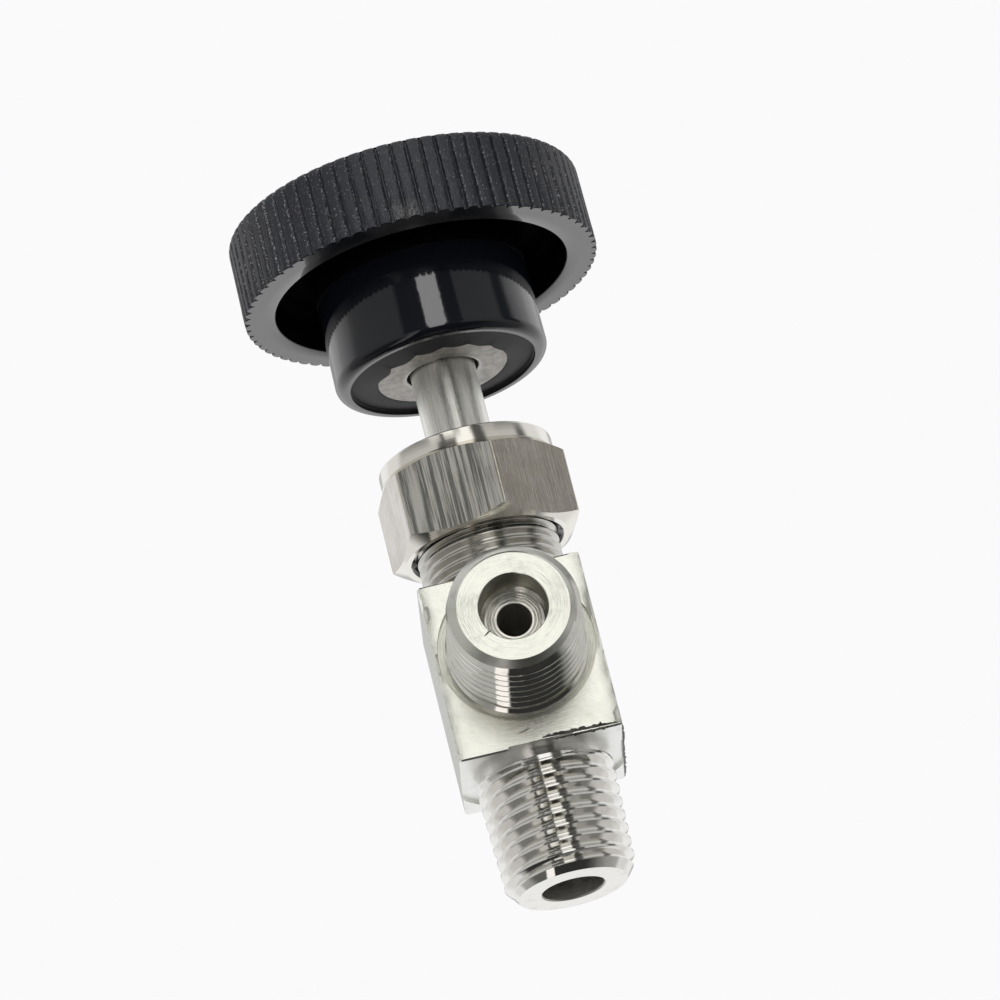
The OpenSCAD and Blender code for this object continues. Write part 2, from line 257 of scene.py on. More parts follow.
def combine(target, tool, operation):
    """Boolean of two closed solids. The tool object is used up."""
    mod = target.modifiers.new("combine", "BOOLEAN")
    mod.object = tool
    mod.operation = operation
    mod.solver = "MANIFOLD"
    bpy.context.view_layer.update()
    graph = bpy.context.evaluated_depsgraph_get()
    result = bpy.data.meshes.new_from_object(target.evaluated_get(graph))
    if len(result.polygons) < 4:
        mod.solver = "EXACT"
        bpy.context.view_layer.update()
        graph = bpy.context.evaluated_depsgraph_get()
        result = bpy.data.meshes.new_from_object(target.evaluated_get(graph))
    old = target.data
    target.modifiers.clear()
    target.data = result
    result.name = target.name
    bpy.data.meshes.remove(old)
    bpy.data.objects.remove(tool)
    return target


def to_outlet(points):
    """Turns points made standing on the Z axis's end face so that they stand on the outlet's."""
    x, y, z = points.T
    return np.stack([x, OUTLET_TIP + z, OUTLET_Z - y], 1)


# ---------------------------------------------------------------- body

PORT_PITCH = 1.337
PORT_END_R = 6.391
PORT_FACE_R = 5.4
PORT_TAPER = 1 / 32
PORT_DEPTH = 0.86
PORT_FLAT = 0.165
PORT_BASE_R = 6.85
PORT_COUNT = 256
INLET_CHAMFER, INLET_START, INLET_THREAD, INLET_FOOT_R = 0.76, 0.471, 11.0, 5.75
OUTLET_CHAMFER, OUTLET_START, OUTLET_THREAD = 1.0, 0.0084, 9.5
RELIEF_BOTTOM_R = 8.6
RELIEF_FRONT_R = 7.6
RELIEF_FRONT_DEPTH = 0.5


def port_solid(name, slope, thread_to, foot_r, top, start, move=None):
    """A male taper port from its end face at z = 0 up to top. The chamfer's slope cuts into the thread.

    foot_r is the radius of the plain stretch behind the thread."""
    low, undercut = -1.0, thread_to + 0.62
    piece = Turned(PORT_COUNT)
    ripple = wobble(piece.theta, int(100 * start) + 3, 30, 70, 0.007)

    def radius(theta, z, phase):
        cut = thread_depth(phase, PORT_FLAT, PORT_FLAT)
        fade = 1 - smooth(z, thread_to - 0.1, thread_to + 0.5)
        torn = ripple * np.clip(1 - cut * 3, 0, 1) * fade
        return PORT_END_R + PORT_TAPER * z - PORT_DEPTH * cut * fade + torn

    piece.ring(0, low)
    piece.helix(low, thread_to + 0.6, PORT_PITCH, thread_phases(PORT_FLAT, PORT_FLAT), radius, start)
    root_r = PORT_END_R + PORT_TAPER * undercut
    neck_r = min(foot_r, root_r - 0.5)
    piece.profile([(root_r, undercut), (neck_r, undercut + 0.22), (neck_r, undercut + 0.5)])
    piece.profile([(foot_r, undercut + 0.9), (foot_r, top), (0, top)])
    port = piece.build(name, move=move)
    wide = 8.0
    reach = (wide - PORT_FACE_R) / slope
    cone = Turned(PORT_COUNT).profile([(0, 0), (PORT_FACE_R - 0.03, 0), (PORT_FACE_R, 0.03)])
    cone.profile([(wide, reach), (wide, top + 1), (0, top + 1)])
    return combine(port, cone.build("t", move=move), "INTERSECT")


def neck_solid(name):
    """The screwed neck above the bar, an M14 x 1 thread."""
    neck_r, pitch, depth = 7.0, 1.0, 0.52
    piece = Turned(PORT_COUNT)
    low = BLOCK_TOP + 0.35

    def radius(theta, z, phase):
        fade = smooth(z, low, low + 0.5) * (1 - smooth(z, NECK_TOP - 1.0, NECK_TOP - 0.5))
        start_r = neck_r - 0.45 + 0.45 * smooth(z, low + 0.1, low + 0.7)
        return start_r - depth * thread_depth(phase, METRIC_CREST, METRIC_ROOT) * fade

    piece.profile([(0, BLOCK_TOP - 1.5), (neck_r - 0.45, BLOCK_TOP - 1.5), (neck_r - 0.45, low)])
    piece.helix(low, NECK_TOP - 0.5, pitch, METRIC_PHASES, radius)
    piece.profile([(neck_r, NECK_TOP - 0.5), (neck_r - 0.5, NECK_TOP), (0, NECK_TOP)])
    return piece.build(name)


def bar_solid(name):
    """The square bar: flat faces, with narrow uneven edges as a saw and a mill leave them."""
    edge, side_steps, rings = 0.16, 26, 30
    h = BLOCK_HALF
    side = [(h, t * (h - edge)) for t in np.linspace(-1, 1, side_steps + 1)]
    outline = []
    for k in range(4):
        c, s = math.cos(k * math.pi / 2), math.sin(k * math.pi / 2)
        outline += [(c * x - s * y, s * x + c * y) for x, y in side]
    points = []
    for dz in (0, *(edge + (BLOCK_H - 2 * edge) * np.linspace(0, 1, rings)), BLOCK_H):
        for x, y in outline:
            rough = noise.noise(Vector((x * 1.3, y * 1.3, dz * 1.3 + 7)))
            rough += 0.6 * noise.noise(Vector((x * 4, y * 4, dz * 4)))
            scale = 1.0
            if dz in (0, BLOCK_H):
                scale = 1 - (edge + 0.07 * rough) / h
            elif min(abs(x), abs(y)) > h - edge - 1e-6:
                scale = 1 - (0.05 + 0.09 * max(0.0, rough)) / h
            points.append((x * scale, y * scale, BLOCK_Z + dz))
    return lofted(name, points, len(outline), 20)


def disc_tool(name, r, z0, z1, count, move=None):
    piece = Turned(count).profile([(0, z0), (r, z0), (r, z1), (0, z1)])
    return piece.build(name, move=move)


def bore_tool(name):
    """All that is drilled on the spindle axis: inlet, orifice, seat, chamber, thread and packing bores."""
    seat_r, seat_z = 1.5, OUTLET_Z - 3
    chamber_r, thread_z, thread_r = 2.7, OUTLET_Z + 3.4, 4.05
    packing_z, packing_r = OUTLET_Z + 12.8, 5.1
    piece = Turned(128)
    piece.profile([(0, -1), (INLET_BORE_R + 0.1, -1), (INLET_BORE_R + 0.1, 0.02), (INLET_BORE_R, 0.14)])
    piece.profile([(INLET_BORE_R, INLET_BORE_L), (seat_r, INLET_BORE_L + 0.93), (seat_r, seat_z)])
    piece.profile([(chamber_r, seat_z + 2.08), (chamber_r, thread_z - 0.8), (thread_r, thread_z)])
    piece.profile([(thread_r, packing_z), (packing_r, packing_z)])
    piece.profile([(packing_r, NECK_TOP + 1), (0, NECK_TOP + 1)])
    return piece.build(name)


def socket_tool(name):
    """The outlet's counterbore, with tool rings on its floor, and the side passage."""
    passage_r, floor_r, groove = 1.65, 2.85, 0.045
    piece = Turned(160)
    piece.profile([(0, -1), (SOCKET_R + 0.07, -1), (SOCKET_R + 0.07, 0.0), (SOCKET_R, 0.07)])
    piece.profile([(SOCKET_R, SOCKET_L - 0.5), (SOCKET_R - 0.06, SOCKET_L - 0.3), (floor_r, SOCKET_L)])
    for r in (2.55, 2.3, 2.0):
        piece.profile([(r + 0.09, SOCKET_L), (r + 0.02, SOCKET_L + groove)])
        piece.profile([(r - 0.02, SOCKET_L + groove), (r - 0.09, SOCKET_L)])
    piece.profile([(passage_r + 0.06, SOCKET_L), (passage_r, SOCKET_L + 0.06)])
    piece.profile([(passage_r, -OUTLET_TIP), (0, -OUTLET_TIP)])
    return piece.build(name, move=to_outlet)


def nick_path(sink):
    """From inside the counterbore's edge out across the end face, sunk that far into it."""
    turn = math.radians(215)
    across = (3.05, 3.4, 3.75, 4.1)
    return [(r * math.cos(turn), OUTLET_TIP + sink, OUTLET_Z + r * math.sin(turn)) for r in across]


def make_body():
    """The bar with its reliefs, ports and neck, bored through both ways."""
    body = bar_solid("valve_body")
    combine(body, disc_tool("t", RELIEF_BOTTOM_R, BLOCK_Z - 1, BLOCK_Z + 0.35, 192), "DIFFERENCE")
    front = -OUTLET_TIP - BLOCK_HALF + RELIEF_FRONT_DEPTH
    combine(body, disc_tool("t", RELIEF_FRONT_R, 1, front, 192, to_outlet), "DIFFERENCE")
    for port in (
        (INLET_CHAMFER, INLET_THREAD, INLET_FOOT_R, BLOCK_Z + 2, INLET_START),
        (OUTLET_CHAMFER, OUTLET_THREAD, PORT_BASE_R, front + 2, OUTLET_START, to_outlet),
    ):
        combine(body, port_solid("t", *port), "UNION")
    combine(body, neck_solid("t"), "UNION")
    combine(body, bore_tool("t"), "DIFFERENCE")
    combine(body, socket_tool("t"), "DIFFERENCE")
    combine(body, chip("t", nick_path(0.02), 0.14), "DIFFERENCE")
    tidy(body.data, 30)
    return body


def burr_strip(name, start, end, out, seed, height, width):
    """A torn fin of metal along an edge, from start to end; out is the way it leans."""
    rng = np.random.default_rng(seed)
    a, b, lean = (np.array(v, float) for v in (start, end, out))
    steps = 46
    along = (b - a) / np.linalg.norm(b - a)
    side = np.cross(along, lean)
    tall = np.abs(np.convolve(rng.normal(size=steps + 7), np.ones(4) / 4, "valid"))[: steps + 1]
    points, root = [], lean * 0.05
    for i in range(steps + 1):
        t = i / steps
        taper = math.sin(math.pi * t) ** 0.5
        base = a + (b - a) * t
        h = height * taper * (0.25 + 0.9 * tall[i])
        w = width * taper * (0.6 + 0.5 * rng.uniform())
        tip = base + lean * h + side * rng.normal() * 0.03
        points += [base - side * w - root, tip - side * 0.012, tip + side * 0.012, base + side * w - root]
    return lofted(name, points, 4, 25)


def chip(name, path, thick):
    """A hair of swarf: a tapered tube along a smooth path through the given points."""
    knots = np.array(path, float)
    steps, sides = 40, 8
    t = np.linspace(0, len(knots) - 1, steps)
    centre = np.stack([np.interp(t, np.arange(len(knots)), knots[:, k]) for k in range(3)], 1)
    for _ in range(6):
        centre[1:-1] = (centre[:-2] + centre[2:] + 2 * centre[1:-1]) / 4
    points = []
    for i in range(steps):
        ahead = centre[min(i + 1, steps - 1)] - centre[max(i - 1, 0)]
        ahead /= np.linalg.norm(ahead)
        u = np.cross(ahead, (0.3, 0.2, 0.93))
        u /= np.linalg.norm(u)
        v = np.cross(ahead, u)
        r = thick * (0.25 + 0.75 * math.sin(math.pi * (i + 0.5) / steps))
        for k in range(sides):
            a = TAU * k / sides
            points.append(centre[i] + u * r * 1.8 * math.cos(a) + v * r * 0.6 * math.sin(a))
    return lofted(name, points, sides, 60)


def make_burrs():
    """Burrs on the bar's lower edges, and two hairs of swarf: in the outlet face's nick and on the bar."""
    h, z = BLOCK_HALF, BLOCK_Z
    front_y, edge_y, side_x, low = -h - 0.02, -h + 0.04, h - 0.05, z + 0.08
    strips = (
        ("front", (0.2, front_y, z + 0.5), (h - 0.5, front_y, z + 0.3), (0, -0.5, 0.86), 3, 0.4, 0.1),
        ("edge", (1.2, edge_y, z + 0.1), (h - 0.1, edge_y, low), (0, -0.6, -0.8), 5, 0.35, 0.12),
        ("right", (side_x, -h + 0.3, low), (side_x, h - 0.3, low), (0.75, 0, -0.66), 8, 0.26, 0.08),
    )
    y, mid = -h - 0.12, OUTLET_Z
    hair = [(-0.4, y + 0.3, mid - 7.4), (-0.3, y, mid - 7.9), (-0.9, y, mid - 8.5), (-1.9, y, mid - 8.7)]
    chips = [chip("body_chip_socket", nick_path(0.13), 0.06), chip("body_chip_base", hair, 0.07)]
    return [burr_strip("body_burr_" + place, *strip) for place, *strip in strips], chips


# ---------------------------------------------------------------- gland nut and fasteners


def hex_prism(name, af, z0, z1, turn, edge):
    """A hexagonal bar with softly rounded corners."""
    corner = af / 2 / math.cos(math.pi / 6)
    outline = []
    for k in range(6):
        a = turn + k * math.pi / 3
        for t in (-1, -0.35, 0.35, 1):
            pull = 1 - edge * (1 - 0.55 * abs(t)) / corner * 0.5
            swing = t * edge / corner
            outline.append((corner * pull * math.cos(a + swing), corner * pull * math.sin(a + swing)))
    flats = []
    for i, point in enumerate(outline):
        flats.append(point)
        if i % 4 == 3:
            a, b = np.array(point), np.array(outline[(i + 1) % len(outline)])
            flats += [tuple(a + (b - a) * t) for t in np.linspace(0, 1, 9)[1:-1]]
    return lofted(name, [(x, y, z) for z in (z0, z1) for x, y in flats], len(flats))


def chamfered_hexagon(name, af, z0, z1, turn, edge, inset, past, count):
    """A hexagonal bar with 30 degree chamfers at both ends.

    The end faces' radius stands inset within the flats; the cones reach past the corners."""
    face_r, wide = af / 2 - inset, af / 2 / math.cos(math.pi / 6) + past
    drop = (wide - face_r) * math.tan(math.pi / 6)
    nut = hex_prism(name, af, z0, z1, turn, edge)
    cone = Turned(count).profile([(0, z0), (face_r, z0), (wide, z0 + drop)])
    cone.profile([(wide, z1 - drop), (face_r, z1), (0, z1)])
    return combine(nut, cone.build("t"), "INTERSECT")


def make_gland_nut():
    """The hexagon with its round collar, bored for the neck from below and for the stem from above."""
    nut = chamfered_hexagon(
        "gland_nut_shell", NUT_AF, NUT_Z, COLLAR_Z, NUT_TURN, edge=0.16, inset=0.3, past=0.2, count=240,
    )
    under_r, soft = COLLAR_R - 0.4, 0.22
    collar = Turned(240).profile([(0, COLLAR_Z - 0.8), (under_r, COLLAR_Z - 0.8), (under_r, COLLAR_Z - 0.3)])
    collar.ring(COLLAR_R, COLLAR_Z + 0.02)
    collar.profile(arc(COLLAR_R - soft, COLLAR_TOP - soft, soft, soft, 0, 90, 4)).ring(0, COLLAR_TOP)
    combine(nut, collar.build("t"), "UNION")
    bore_r, mouth_r, web = 7.05, 7.65, COLLAR_TOP - 3
    bore = Turned(240).profile([(0, NUT_Z - 1), (mouth_r, NUT_Z - 1), (mouth_r, NUT_Z)])
    bore.profile([(bore_r, NUT_Z + 0.55), (bore_r, web), (0, web)])
    combine(nut, bore.build("t"), "DIFFERENCE")
    hole_r, above = STEM_R + 0.1, COLLAR_TOP + 0.05
    hole = Turned(160).profile([(0, web - 0.5), (hole_r, web - 0.5), (hole_r, COLLAR_TOP - 0.3)])
    hole.profile([(hole_r + 0.35, above), (0, above)])
    combine(nut, hole.build("t"), "DIFFERENCE")
    tidy(nut.data, 24)
    return nut


def make_wheel_nut():
    """The nut that clamps the wheel, with its bore chamfered at both ends."""
    z0, z1 = extent("wheel_nut", "z", 0), extent("wheel_nut", "z", 1)
    af, bore_r, mouth_r = 2 * extent("wheel_nut", "y", 1), 2.5, 3.0
    nut = chamfered_hexagon("wheel_clamp_nut", af, z0, z1, 0, edge=0.1, inset=0.1, past=0.1, count=120)
    hole = Turned(96).profile([(0, z0 - 1), (mouth_r, z0 - 1), (bore_r, z0 + 0.4), (bore_r, z1 - 0.4)])
    hole.profile([(mouth_r, z1 + 0.1), (0, z1 + 0.1)])
    combine(nut, hole.build("t"), "DIFFERENCE")
    tidy(nut.data, 24)
    return nut


def make_washer():
    z0, z1 = extent("wheel_washer", "z", 0), extent("wheel_washer", "z", 1)
    r, hole, soft = extent("wheel_washer", "x", 1), 2.65, 0.12
    piece = Turned(128).profile([(hole, z0), (r - soft, z0)])
    piece.profile(arc(r - soft, z0 + soft, soft, soft, -90, 0, 3)[1:])
    piece.profile(arc(r - soft, z1 - soft, soft, soft, 0, 90, 3))
    piece.profile([(hole + soft, z1), (hole, z1 - soft)])
    return piece.build("wheel_flat_washer", loop=True)


def make_lock_washer():
    """A split spring washer: a square wire bent to a ring whose cut ends stand slightly apart."""
    z0, z1 = extent("lock_washer", "z", 0), extent("lock_washer", "z", 1)
    inner, outer, split, spring, steps = 2.6, 4.5, math.radians(7), 0.22, 120
    points = []
    for i in range(steps + 1):
        t = i / steps
        a = math.radians(20) + split / 2 + (TAU - split) * t
        low, high = z0 + spring * t, z1 - spring * (1 - t)
        ring = ((inner, low), (outer, low), (outer, high), (inner, high))
        points += [(r * math.cos(a), r * math.sin(a), z) for r, z in ring]
    return lofted("wheel_lock_washer", points, 4)


# ---------------------------------------------------------------- spindle, needle and insert


def square_radius(theta, half, limit):
    """Radius of a square of the given half width whose corners are cut by a circle."""
    away = np.mod(theta + math.pi / 4, math.pi / 2) - math.pi / 4
    return np.minimum(half / np.cos(away), limit)


def key_grooves(piece, r):
    """The two grooves by which the moulding grips the insert, the upper one first."""
    floor = r - 0.8
    for low, high in ((7.2, 8.6), (3.2, 4.6)):
        piece.profile([(r, HUB_Z + high + 0.6), (floor, HUB_Z + high)])
        piece.profile([(floor, HUB_Z + low), (r, HUB_Z + low - 0.6)])


def make_spindle():
    """The stem: driving thread below, plain length, the wheel's square and the clamp nut's screw above."""
    thread_r, pitch, depth, length = extent("spindle", "x", 1), 1.0, 0.52, 5.15
    shoulder = SPINDLE_Z + length
    seat = HUB_Z + 5.4
    screw_r, screw_pitch, screw_z = 2.46, 0.8, INSERT_TOP - 0.2
    bore_r, bore_top = 1.55, SPINDLE_Z + 5.96
    piece = Turned(160)

    def drive(theta, z, phase):
        fade = smooth(z, SPINDLE_Z + 0.3, SPINDLE_Z + 0.7) * (1 - smooth(z, shoulder - 0.9, shoulder - 0.5))
        lead = np.minimum(thread_r, thread_r - 0.6 + (z - SPINDLE_Z))
        return np.minimum(lead, thread_r - depth * thread_depth(phase, METRIC_CREST, METRIC_ROOT) * fade)

    def screw(theta, z, phase):
        fade = 1 - smooth(z, SPINDLE_TOP - 0.7, SPINDLE_TOP - 0.35)
        cut = 0.4 * thread_depth(phase, METRIC_CREST, METRIC_ROOT) * fade
        return np.minimum(screw_r - cut, screw_r - 0.05 - np.maximum(0, z - SPINDLE_TOP + 0.5))

    piece.profile([(0, bore_top), (bore_r, bore_top), (bore_r, SPINDLE_Z), (thread_r - 0.6, SPINDLE_Z)])
    piece.helix(SPINDLE_Z, shoulder - 0.4, pitch, METRIC_PHASES, drive)
    piece.profile([(thread_r, shoulder - 0.2), (thread_r - 0.2, shoulder), (STEM_R, shoulder)])
    piece.profile([(STEM_R, shoulder + (seat - shoulder) * k / 12) for k in range(1, 12)])
    piece.profile([(STEM_R, seat - 0.15), (STEM_R - 0.15, seat)])
    square = square_radius(piece.theta, 2.5, STEM_R - 0.16)
    piece.ring(square, seat).ring(square, screw_z - 0.3).ring(screw_r - 0.42, screw_z)
    piece.helix(screw_z, SPINDLE_TOP - 0.02, screw_pitch, METRIC_PHASES, screw)
    piece.profile([(screw_r - 0.58, SPINDLE_TOP), (0.4, SPINDLE_TOP), (0, SPINDLE_TOP - 0.25)])
    return piece.build("spindle_stem")


def make_needle():
    """The needle: stalk with its groove, a rounded shoulder and the seating cone."""
    stalk_r, groove_r, collar = 1.5, 0.9, SPINDLE_Z - 0.1
    groove_z, groove_h = SPINDLE_Z + 1.1, 1.1
    slope = math.tan(math.radians(30))
    tip_r = 0.35
    shoulder = NEEDLE_TIP + (NEEDLE_R - tip_r) / slope
    piece = Turned(128).ring(0, NEEDLE_TIP)
    piece.profile(arc(tip_r - 0.1, NEEDLE_TIP + 0.12, 0.1, 0.12, -90, -20, 3))
    piece.profile([(NEEDLE_R - 0.45, shoulder - 0.78), (NEEDLE_R - 0.2, shoulder - 0.32)])
    piece.profile([(NEEDLE_R - 0.06, shoulder), (NEEDLE_R, shoulder + 0.35)])
    piece.profile([(NEEDLE_R, collar - 0.2), (NEEDLE_R - 0.2, collar), (stalk_r, collar)])
    piece.profile([(stalk_r, groove_z), (groove_r, groove_z)])
    piece.profile([(groove_r, groove_z + groove_h), (stalk_r, groove_z + groove_h)])
    piece.profile([(stalk_r, NEEDLE_TOP - 0.1), (stalk_r - 0.1, NEEDLE_TOP), (0, NEEDLE_TOP)])
    return piece.build("needle_cone")


def make_insert():
    """The metal bush: a clear bore for the stem below, a square hole above, two key grooves outside."""
    piece = Turned(240)
    bore_r, seat = 3.58, HUB_Z + 5.42
    uneven = wobble(piece.theta, 21, 2, 9, 0.05)
    ragged = wobble(piece.theta, 5, 4, 40, 0.025)
    square = square_radius(piece.theta, 2.53, STEM_R)
    face = HUB_Z + 0.08
    piece.ring(INSERT_R, HUB_Z + 0.18).ring(INSERT_R - 0.1 + ragged, face).ring(4.9 + uneven, face)
    piece.ring(bore_r + 0.1 + ragged, face).ring(bore_r + 0.02, face + 0.09)
    piece.ring(bore_r, HUB_Z + 0.6).ring(bore_r, seat)
    piece.ring(square, seat).ring(square, INSERT_TOP).ring(INSERT_R, INSERT_TOP)
    key_grooves(piece, INSERT_R)
    return piece.build("wheel_bush", loop=True)


# ---------------------------------------------------------------- handwheel

RIB_COUNT = 75
RIB_STEPS = 12
RIB_DEPTH = 0.45


def rib_cut(theta):
    """Depth of the grooves between the ribs, from 0 on top of a rib's slight curve to 1 in a groove."""
    phase = np.mod(theta * RIB_COUNT / TAU, 1.0)
    top, edge = 0.36, 0.32
    groove = np.interp(phase, [0.72, 0.82, 0.92, 1.0], [edge, 1, 1, edge])
    return np.where(phase <= 2 * top, edge * np.abs(phase / top - 1) ** 3, groove)


def make_handwheel():
    """Rim, web and hub as one moulding, with flash round the insert and along the rim's lower edge."""
    piece = Turned(RIB_COUNT * RIB_STEPS)
    theta = piece.theta
    ribs = rib_cut(theta) * RIB_DEPTH
    front = np.exp(-(np.mod(theta + math.pi / 2 + math.pi, TAU) - math.pi) ** 2 / 0.003)
    flash = wobble(theta, 11, 20, 160, 0.035)
    hub_r, taper, hub_round, hollow_r = 10.65, 0.15, 1.0, 9.3
    hollow_rim, hollow_mid = HUB_Z + 0.45, HUB_Z + 0.2
    near = smooth(-np.sin(theta), -0.3, 0.5)
    sink = 0.28 * near
    lip = np.abs(wobble(theta, 7, 3, 9, 0.75) + wobble(theta, 9, 14, 40, 0.07)) * near
    slot_in, slot_out, slot_z, slot_round = hub_r - taper, 14.7, RIM_Z + 3.9, 1.2
    recess_r, web_top, crown = 6.0, WHEEL_TOP - 1, 0.6
    pocket = INSERT_R + 0.02

    piece.ring(pocket - lip, hollow_mid + 0.12 - sink).ring(pocket - lip + 0.06, hollow_mid + 0.08 - sink)
    piece.ring(pocket + 0.35, hollow_mid + 0.01 - 0.1 * near)
    piece.profile([(8.2, hollow_mid + 0.14), (hollow_r - 0.1, hollow_rim - 0.01)])
    piece.ring(hollow_r, hollow_rim - 0.08)
    piece.profile([(hollow_r, HUB_Z + 0.04), (hollow_r + 0.04, HUB_Z), (hub_r - hub_round - 0.04, HUB_Z)])
    piece.profile(arc(hub_r - hub_round, HUB_Z + hub_round, hub_round, hub_round, -86, 0, 12))
    side_low, side_high = HUB_Z + hub_round, slot_z - slot_round
    piece.profile([(hub_r - taper * t, side_low + (side_high - side_low) * t) for t in (0.25, 0.5, 0.75)])
    piece.profile([(slot_in + 0.01, slot_z - slot_round - 0.3)])
    piece.profile(arc(slot_in + slot_round, slot_z - slot_round, slot_round, slot_round, 172, 90, 8))
    piece.profile(arc(slot_out - slot_round, slot_z - slot_round, slot_round, slot_round, 90, 0, 8))
    piece.profile([(slot_out, RIM_Z + 0.25), (slot_out + 0.06, RIM_Z + 0.07)])
    piece.profile([(slot_out + 0.24, RIM_Z), (16.2, RIM_Z)])
    piece.ring(WHEEL_R - RIB_DEPTH - 0.16, RIM_Z)
    torn = 0.16 * front * wobble(theta, 2, 60, 160, 1.0)
    outer = WHEEL_R - ribs
    piece.ring(outer - 0.1, RIM_Z)
    piece.ring(np.minimum(outer - 0.02 + flash * 0.5, WHEEL_R), RIM_Z + 0.05 + np.abs(flash))
    for dz, tear, dent in ((0.35, 0.9, 0.6), (0.7, 1.0, 1), (1.1, 0.7, 0.8), (1.6, 0.3, 0.3)):
        gate = outer + torn * tear - 0.12 * front * dent
        piece.ring(np.minimum(gate, WHEEL_R), RIM_Z + dz)
    straight = WHEEL_TOP - crown - RIM_Z
    for t in np.linspace(0.28, 1, 9):
        fine = wobble(theta, int(t * 100), 100, 200, 0.015)
        piece.ring(np.minimum(outer + fine, WHEEL_R - 0.1 * t), RIM_Z + straight * t)
    crown_r = WHEEL_R - 0.1 - crown
    for a in np.radians(np.linspace(9, 90, 12)):
        r = crown_r + crown * math.cos(a)
        fade = 1 - smooth(math.degrees(a), 78, 90)
        piece.ring(np.minimum(r, r - ribs * fade + 0.05 * fade), WHEEL_TOP - crown + crown * math.sin(a))
    piece.profile([(crown_r - 0.9, WHEEL_TOP)])
    for t in np.linspace(0.1, 1, 7):
        piece.ring(crown_r - 0.9 - 2.8 * t, WHEEL_TOP - (WHEEL_TOP - web_top) * float(smooth(t, 0, 1)))
    piece.profile([(9.5, web_top), (recess_r + 0.3, web_top)])
    piece.profile([(recess_r + 0.06, web_top - 0.1), (recess_r, web_top - 0.3)])
    piece.profile([(recess_r, INSERT_TOP + 0.02), (pocket, INSERT_TOP + 0.02)])
    key_grooves(piece, pocket)
    return piece.build("handwheel_moulding", loop=True, sharp=24)


# ---------------------------------------------------------------- node materials


class Graph:
    """Short names for building a node tree. A value may be a socket, a number or a tuple."""

    def __init__(self, tree):
        self.tree = tree
        tree.nodes.clear()

    def node(self, kind, inputs=None, **props):
        made = self.tree.nodes.new(kind)
        for key, value in props.items():
            setattr(made, key, value)
        for key, value in (inputs or {}).items():
            self.feed(made.inputs[key], value)
        return made

    def feed(self, socket, value):
        if isinstance(value, bpy.types.NodeSocket):
            self.tree.links.new(value, socket)
        elif socket.type == "RGBA" and len(value) == 3:
            socket.default_value = (*value, 1)
        else:
            socket.default_value = value

    def math(self, operation, a, b=0.0, c=0.0):
        return self.node("ShaderNodeMath", {0: a, 1: b, 2: c}, operation=operation).outputs[0]

    def add(self, *values):
        total = values[0]
        for value in values[1:]:
            total = self.math("ADD", total, value)
        return total

    def mul(self, a, b):
        return self.math("MULTIPLY", a, b)

    def step(self, value, low, high):
        """0 at low and 1 at high, smooth between; low may be above high."""
        made = self.node("ShaderNodeMapRange", {0: value, 1: low, 2: high}, interpolation_type="SMOOTHSTEP")
        return made.outputs[0]

    def band(self, value, centre, half, soft):
        """1 within half of centre, falling to 0 over soft."""
        away = self.math("ABSOLUTE", self.math("SUBTRACT", value, centre))
        return self.step(away, half + soft, half)

    def mix(self, factor, a, b):
        made = self.node("ShaderNodeMix", {0: factor, 6: a, 7: b}, data_type="RGBA")
        return made.outputs[2]

    def lerp(self, factor, a, b):
        return self.node("ShaderNodeMix", {0: factor, 2: a, 3: b}, data_type="FLOAT").outputs[0]

    def vector(self, x, y, z):
        return self.node("ShaderNodeCombineXYZ", {0: x, 1: y, 2: z}).outputs[0]

    def split(self, vector):
        return self.node("ShaderNodeSeparateXYZ", {0: vector}).outputs

    def dot(self, vector, direction):
        made = self.node("ShaderNodeVectorMath", {0: vector, 1: tuple(direction)}, operation="DOT_PRODUCT")
        return made.outputs["Value"]

    def noise(self, vector, scale, detail=3.0, rough=0.5):
        inputs = {"Vector": vector, "Scale": scale, "Detail": detail, "Roughness": rough}
        return self.node("ShaderNodeTexNoise", inputs).outputs["Fac"]

    def place(self):
        """The point in the row frame, in millimetres."""
        point = self.node("ShaderNodeTexCoord").outputs["Object"]
        return self.node("ShaderNodeVectorMath", {0: point, "Scale": 1 / MM}, operation="SCALE").outputs[0]

    def normal(self):
        return self.node("ShaderNodeTexCoord").outputs["Normal"]

    def bump(self, height, size, strength=1.0, after=None):
        """A bump of the given size in millimetres."""
        inputs = {"Height": height, "Distance": size * MM, "Strength": strength}
        if after is not None:
            inputs["Normal"] = after
        return self.node("ShaderNodeBump", inputs).outputs[0]


def new_material(name):
    """A new material's node tree and the point it is evaluated at."""
    material = bpy.data.materials.new(name)
    material.use_nodes = True
    g = Graph(material.node_tree)
    g.material = material
    return g, g.place()


def finish_material(g, **inputs):
    """Ends a tree with a Principled shader; underscores in names stand for spaces."""
    shader = g.node("ShaderNodeBsdfPrincipled", {k.replace("_", " "): v for k, v in inputs.items()})
    g.node("ShaderNodeOutputMaterial", {"Surface": shader.outputs[0]})
    return g.material


def polar(g, point, axis):
    """Radius, angle and height about an axis: "z" is the spindle's, "y" is the outlet's."""
    x, y, z = g.split(point)
    if axis == "z":
        u, v, along = x, y, z
    else:
        u, v, along = x, g.math("SUBTRACT", z, OUTLET_Z), y
    radius = g.math("SQRT", g.add(g.mul(u, u), g.mul(v, v)))
    return radius, g.math("ARCTAN2", v, u), along


